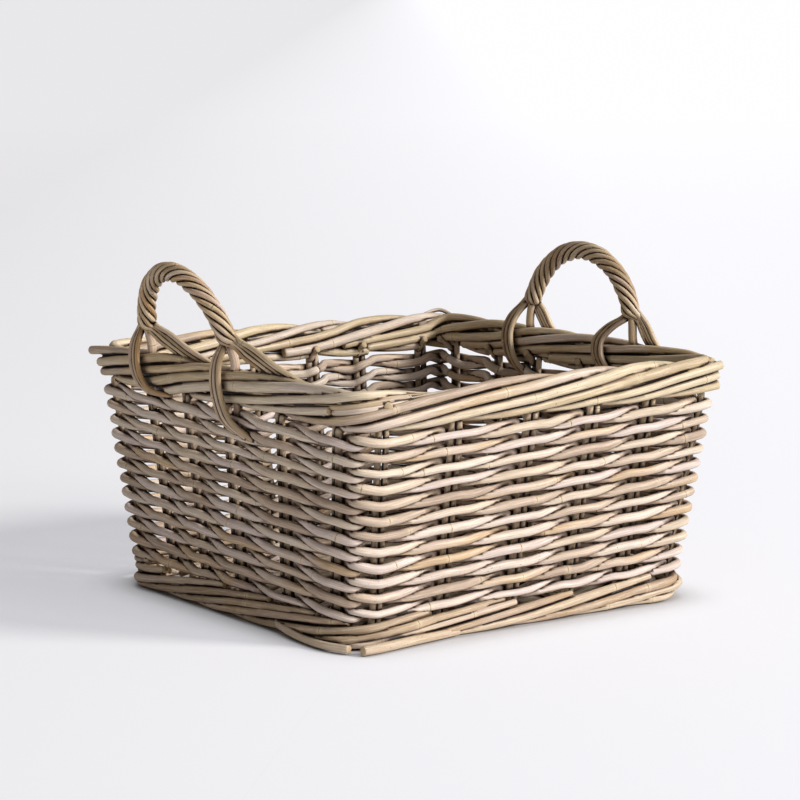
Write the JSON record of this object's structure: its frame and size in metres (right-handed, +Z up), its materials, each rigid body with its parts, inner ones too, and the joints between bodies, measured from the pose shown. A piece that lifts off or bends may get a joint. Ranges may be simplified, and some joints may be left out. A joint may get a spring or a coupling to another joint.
{
  "type": "square basket",
  "caption": "Square rattan basket with flared walls of paired twisted rods on upright stakes, a rolled border on the rim, a foot border and two roped handles.",
  "frame": {"origin": "on the floor, under the middle of the basket's outline", "axes": "+Z up, -Y the front wall, the handles on the -X and +X walls"},
  "size_m": [0.5166, 0.5054, 0.3629],
  "materials": {
    "wall_rods": "grey-washed rattan rods, matt with a faint sheen",
    "stakes": "darker grey-brown rattan rods, matt",
    "border_rods": "pale straw-grey rattan rods, rubbed smooth",
    "handle_rods": "brown-grey rattan rods, rubbed smooth"
  },
  "bodies": {
    "root": {"weaver_01_a": "wall_rods", "weaver_01_b": "wall_rods", "weaver_02_a": "wall_rods", "weaver_02_b": "wall_rods", "weaver_03_a": "wall_rods", "weaver_03_b": "wall_rods", "weaver_04_a": "wall_rods", "weaver_04_b": "wall_rods", "weaver_05_a": "wall_rods", "weaver_05_b": "wall_rods", "weaver_06_a": "wall_rods", "weaver_06_b": "wall_rods", "weaver_07_a": "wall_rods", "weaver_07_b": "wall_rods", "weaver_08_a": "wall_rods", "weaver_08_b": "wall_rods", "weaver_09_a": "wall_rods", "weaver_09_b": "wall_rods", "weaver_10_a": "wall_rods", "weaver_10_b": "wall_rods", "weaver_11_a": "wall_rods", "weaver_11_b": "wall_rods", "weaver_12_a": "wall_rods", "weaver_12_b": "wall_rods", "stake_front_back_1": "stakes", "stake_front_back_2": "stakes", "stake_front_back_3": "stakes", "stake_front_back_4": "stakes", "stake_front_back_5": "stakes", "stake_left_right_1": "stakes", "stake_left_right_2": "stakes", "stake_left_right_3": "stakes", "stake_left_right_4": "stakes", "stake_left_right_5": "stakes", "stake_corner_right": "stakes", "stake_corner_left": "stakes", "border_rod_1": "border_rods", "border_rod_2": "border_rods", "border_rod_3": "border_rods", "border_rod_4": "border_rods", "border_rod_5": "border_rods", "border_rod_6": "border_rods", "border_rod_7": "border_rods", "foot_rod_1": "border_rods", "foot_rod_2": "border_rods", "foot_rod_3": "border_rods", "floor_rod_1": "wall_rods", "floor_rod_2": "wall_rods", "floor_rod_3": "wall_rods", "floor_rod_4": "wall_rods", "left_handle_core": "handle_rods", "left_handle_rod_1": "handle_rods", "left_handle_rod_2": "handle_rods", "left_handle_rod_3": "handle_rods", "left_handle_rod_4": "handle_rods", "right_handle_core": "handle_rods", "right_handle_rod_1": "handle_rods", "right_handle_rod_2": "handle_rods", "right_handle_rod_3": "handle_rods", "right_handle_rod_4": "handle_rods"}
  },
  "joints": []
}
